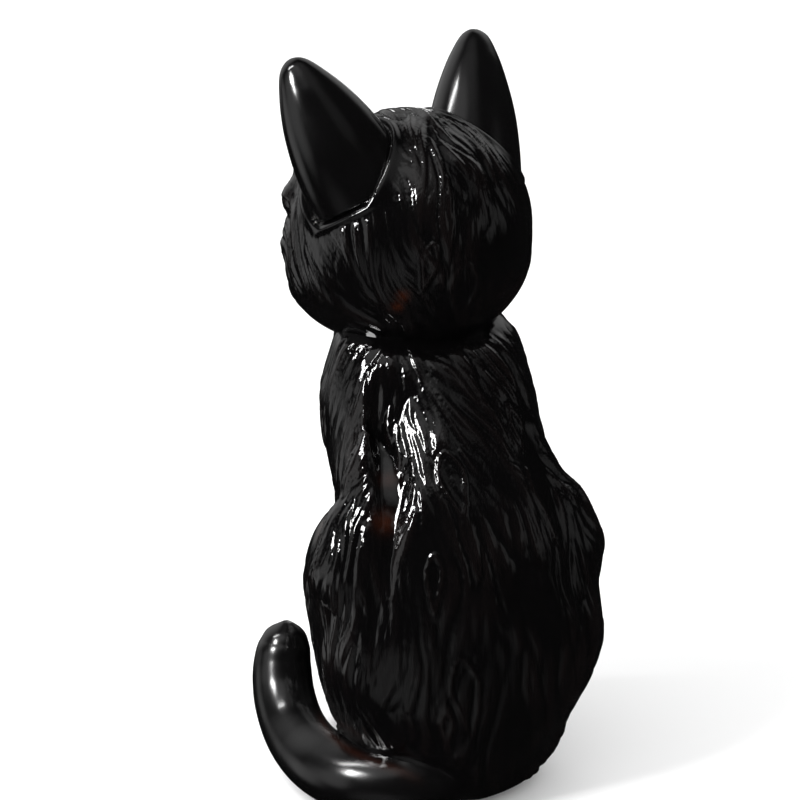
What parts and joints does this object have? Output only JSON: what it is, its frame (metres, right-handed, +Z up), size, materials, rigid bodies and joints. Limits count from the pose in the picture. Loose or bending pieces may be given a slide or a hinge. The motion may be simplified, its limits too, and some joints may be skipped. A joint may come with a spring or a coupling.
{
  "type": "cat figurine",
  "caption": "Hollow glazed ceramic figurine of a sitting cat, head turned to its left, tail brought round its side, standing on a flat foot.",
  "frame": {"origin": "on the flat underside of the base plate, on the cat's middle plane", "axes": "+Z up; the body faces -Y; the cat's left side is +X"},
  "size_m": [0.1063, 0.1243, 0.2367],
  "materials": {
    "black_glaze": "mirror-gloss near-black glaze",
    "bare_clay": "dry unglazed foot, wiped clean before firing",
    "nose_glaze": "satin black-brown glaze",
    "eye_glaze": "clear amber glaze with a dark slit pupil"
  },
  "bodies": {
    "root": {"torso_shell": "black_glaze", "base_plate": "bare_clay", "foreleg_left": "black_glaze", "foreleg_right": "black_glaze", "haunch_left": "black_glaze", "haunch_right": "black_glaze", "hind_paw_left": "black_glaze", "hind_paw_right": "black_glaze", "tail": "black_glaze", "head_shell": "black_glaze", "ear_left": "black_glaze", "ear_right": "black_glaze", "muzzle": "black_glaze", "nose": "nose_glaze", "eye_left": "eye_glaze", "eye_right": "eye_glaze"}
  },
  "joints": []
}
